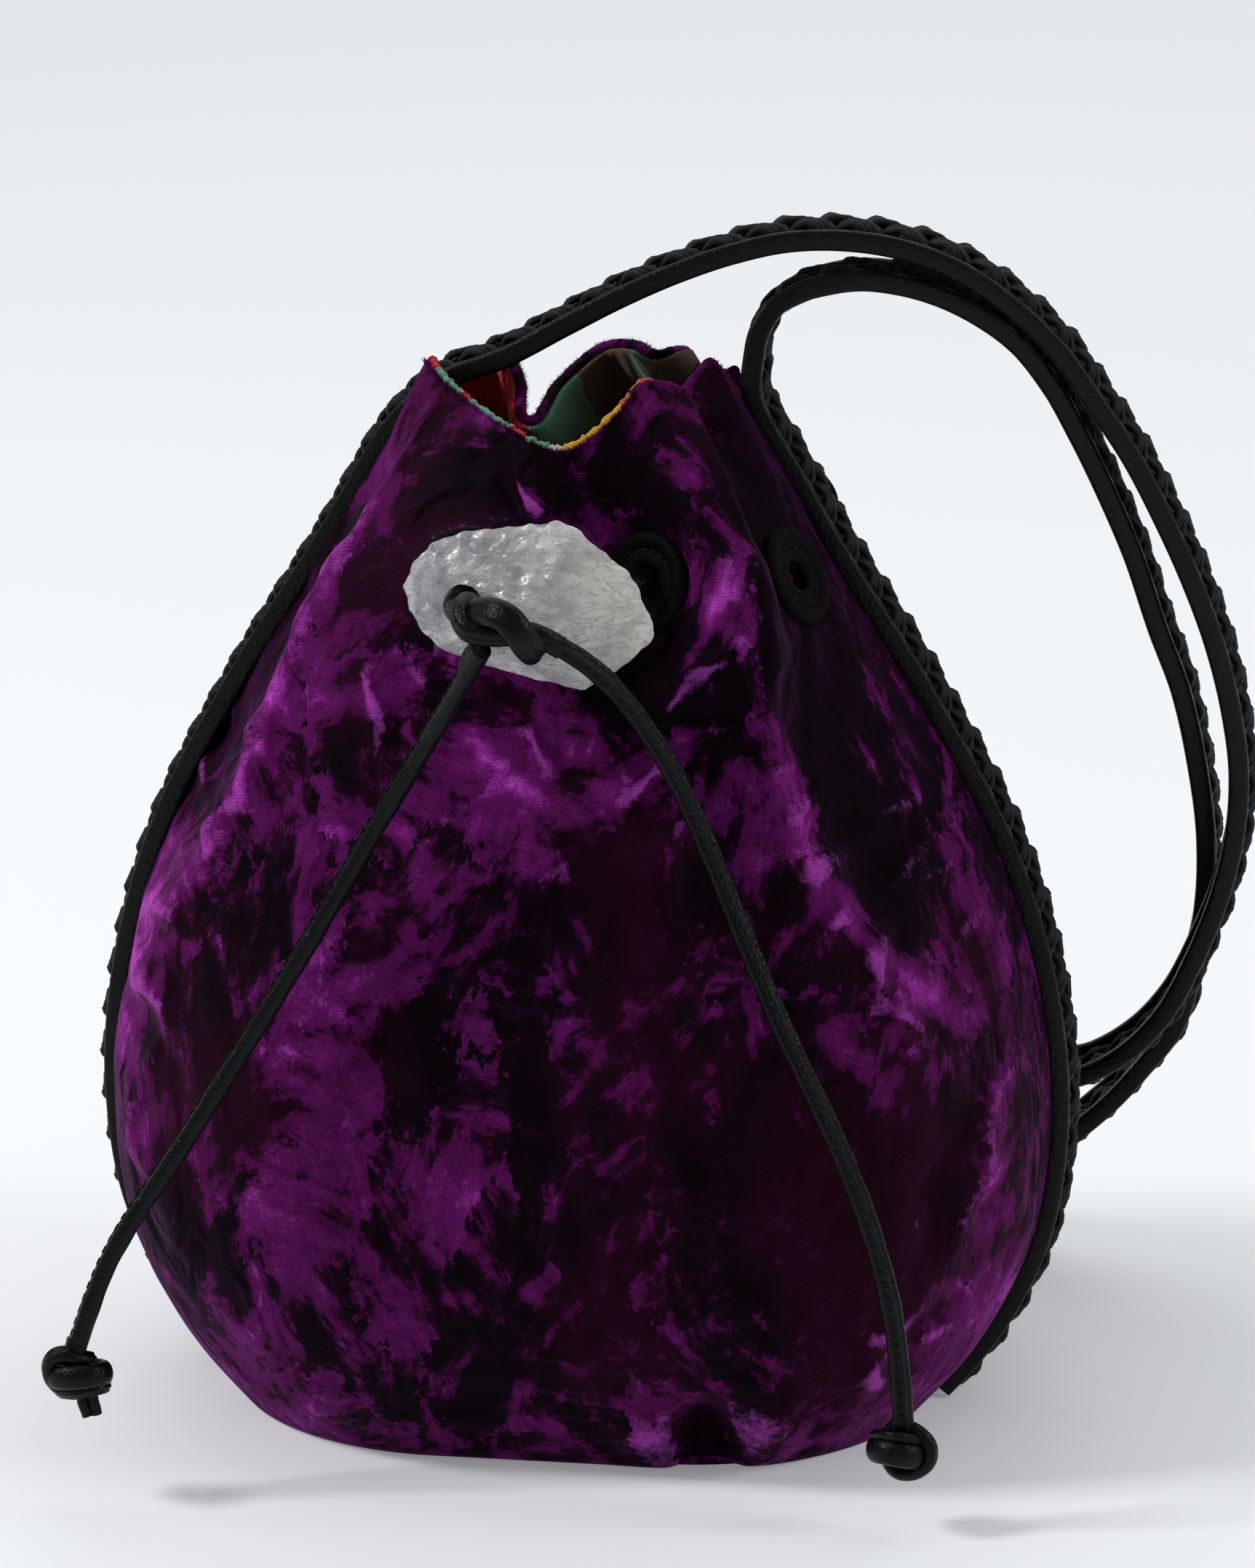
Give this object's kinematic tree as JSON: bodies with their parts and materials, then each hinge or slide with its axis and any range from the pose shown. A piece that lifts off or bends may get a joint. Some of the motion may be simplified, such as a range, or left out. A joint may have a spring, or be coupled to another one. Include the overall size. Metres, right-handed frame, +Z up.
{
  "type": "drawstring pouch with stone toggle",
  "caption": "Gathered crushed-velvet drawstring pouch with a raw quartz toggle on a leather drawstring, braided side bands and a braided shoulder strap.",
  "frame": {"origin": "centre of the base, on the surface the pouch stands on", "axes": "+Z up, -Y the front with the toggle, +X the pouch's right side in a front view"},
  "size_m": [0.263, 0.211, 0.27],
  "materials": {
    "velvet": "crushed velvet, magenta purple with black patches",
    "lining": "woven multicolour stripes, mint, red, yellow, white and olive",
    "card": "plain grey-brown board",
    "leather": "satin black strap leather with rounded edges",
    "eyelet_leather": "soft black leather, stitched",
    "braid_cord": "charcoal waxed cotton cord",
    "cord_leather": "sewn black leather piping",
    "quartz": "milky translucent raw quartz with rust and yellow inclusions"
  },
  "bodies": {
    "bag": {"back_eyelet_1": "eyelet_leather", "back_eyelet_2": "eyelet_leather", "back_eyelet_3": "eyelet_leather", "back_eyelet_4": "eyelet_leather", "back_lining": "lining", "back_velvet": "velvet", "base_board": "card", "base_lining": "lining", "base_velvet": "velvet", "drawstring_inner": "cord_leather", "front_eyelet_1": "eyelet_leather", "front_eyelet_2": "eyelet_leather", "front_eyelet_3": "eyelet_leather", "front_eyelet_4": "eyelet_leather", "front_lining": "lining", "front_velvet": "velvet", "left_seam_braid": "braid_cord", "left_seam_strip_back": "leather", "left_seam_strip_front": "leather", "right_seam_braid": "braid_cord", "right_seam_strip_back": "leather", "right_seam_strip_front": "leather"},
    "strap": {"strap_braid": "braid_cord", "strap_strip_back": "leather", "strap_strip_front": "leather"},
    "drawstring": {"drawstring_leg_left": "cord_leather", "drawstring_leg_right": "cord_leather", "toggle_knot": "cord_leather", "tail_left": "cord_leather", "tail_right": "cord_leather", "end_knot_left": "cord_leather", "end_knot_right": "cord_leather"},
    "quartz": {"quartz_toggle": "quartz"}
  },
  "joints": [
    {"name": "strap_swing", "type": "hinge", "parent": "bag", "child": "strap", "pos_m": [0, 0, 0.234], "axis": [1, 0, 0], "range_deg": [0, 60]},
    {"name": "toggle_pull", "type": "slide", "parent": "bag", "child": "drawstring", "axis": [0, -1, 0], "range_m": [0, 0.012]},
    {"name": "quartz_turn", "type": "hinge", "parent": "drawstring", "child": "quartz", "pos_m": [-0.014, -0.076, 0.2], "axis": [0, -1, 0], "range_deg": [0, 60]}
  ]
}
